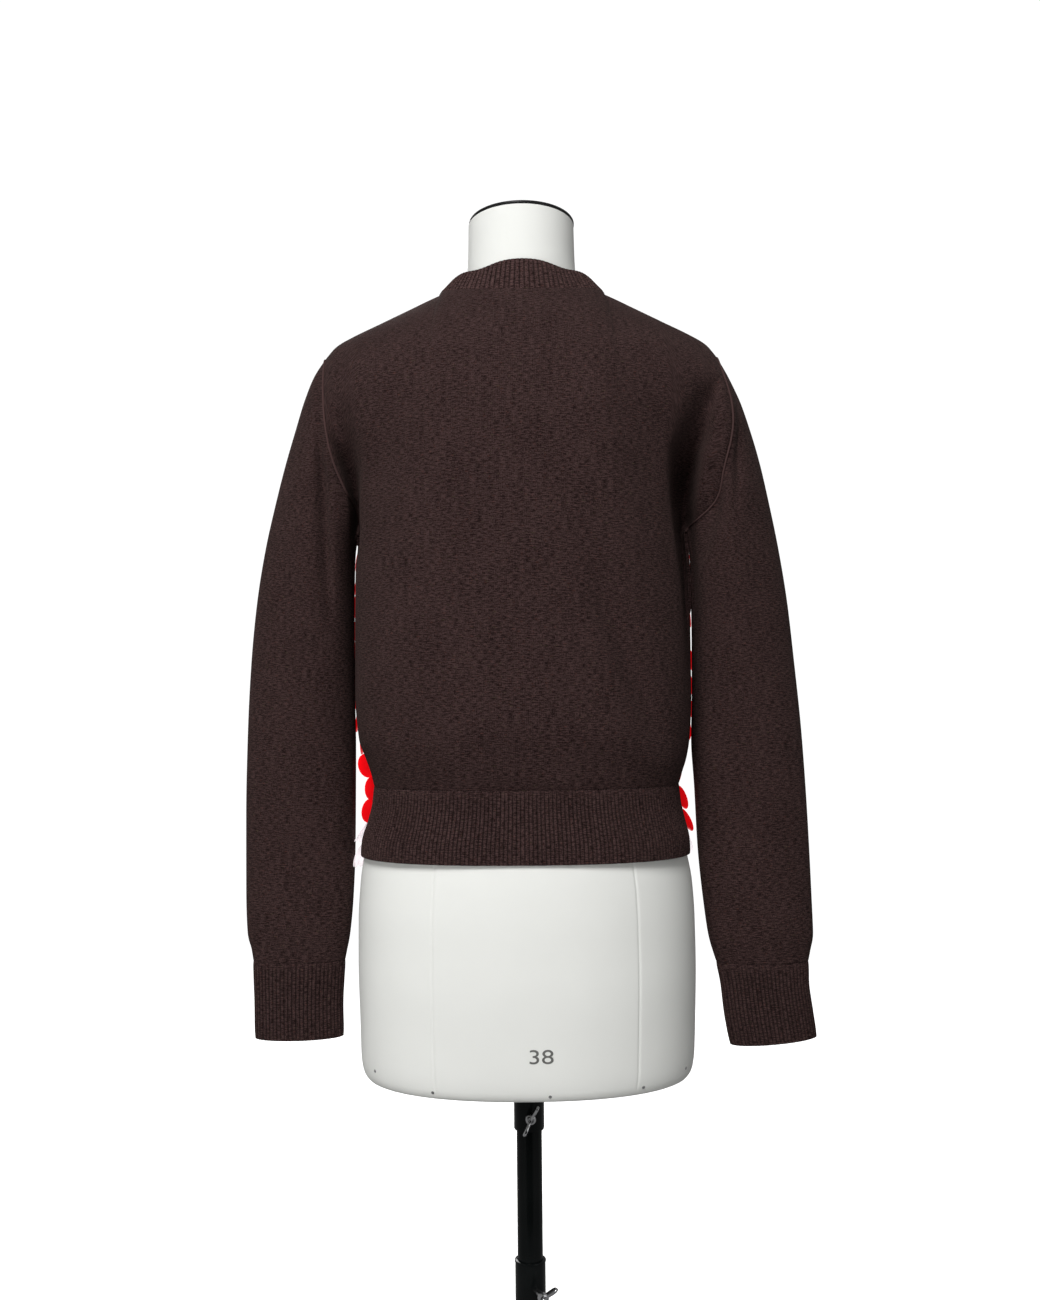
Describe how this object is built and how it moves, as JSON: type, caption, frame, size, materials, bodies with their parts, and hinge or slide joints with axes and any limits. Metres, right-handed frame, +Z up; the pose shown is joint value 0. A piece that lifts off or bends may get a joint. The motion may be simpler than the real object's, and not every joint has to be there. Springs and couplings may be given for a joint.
{
  "type": "sequin sweater on dress form and stand",
  "caption": "Crew-neck sweater in fine dark brown knit with large discs over its front, worn by a cloth-covered dress form on a telescopic pole with a round base.",
  "frame": {"origin": "on the floor, at the centre of the base plate's underside, under the pole", "axes": "+Z is up along the pole, the sweater's front faces -Y and its back +Y, and the wearer's left sleeve is on +X"},
  "size_m": [0.5663, 0.4, 1.4995],
  "materials": {
    "knit": "matte",
    "rib_knit": "matte",
    "form_cloth": "matte",
    "black_edge": "satin",
    "black_metal": "gloss",
    "screw_metal": "gloss",
    "red_disc": "gloss",
    "pale_disc": "gloss"
  },
  "bodies": {
    "base": {"base_plate": "black_metal", "lower_tube": "black_metal"},
    "height_screw": {"height_screw": "screw_metal"},
    "pole": {"pole": "black_metal"},
    "form": {"socket": "black_metal", "dress_form": "form_cloth", "neck_cap": "black_edge", "back_panel": "knit", "front_panel": "knit", "hem_rib": "rib_knit", "neck_rib": "rib_knit", "left_sleeve_upper": "knit", "left_sleeve_lower": "knit", "right_sleeve_upper": "knit", "right_sleeve_lower": "knit", "left_cuff": "rib_knit", "right_cuff": "rib_knit"},
    "form_screw": {"form_screw": "screw_metal"}
  },
  "joints": [
    {"name": "height", "type": "slide", "parent": "base", "child": "pole", "axis": [0, 0, 1], "range_m": [-0.125, 0.23]},
    {"name": "form_swivel", "type": "hinge", "parent": "pole", "child": "form", "pos_m": [0, 0, 0.6], "axis": [0, 0, 1], "continuous": true},
    {"name": "form_screw_turn", "type": "hinge", "parent": "form", "child": "form_screw", "pos_m": [0, 0, 0.604], "axis": [-0.0698, 0.9976, 0], "range_deg": [0, 270]},
    {"name": "height_screw_turn", "type": "hinge", "parent": "base", "child": "height_screw", "pos_m": [0, 0, 0.437], "axis": [-0.342, 0.9397, 0], "range_deg": [0, 270]}
  ]
}
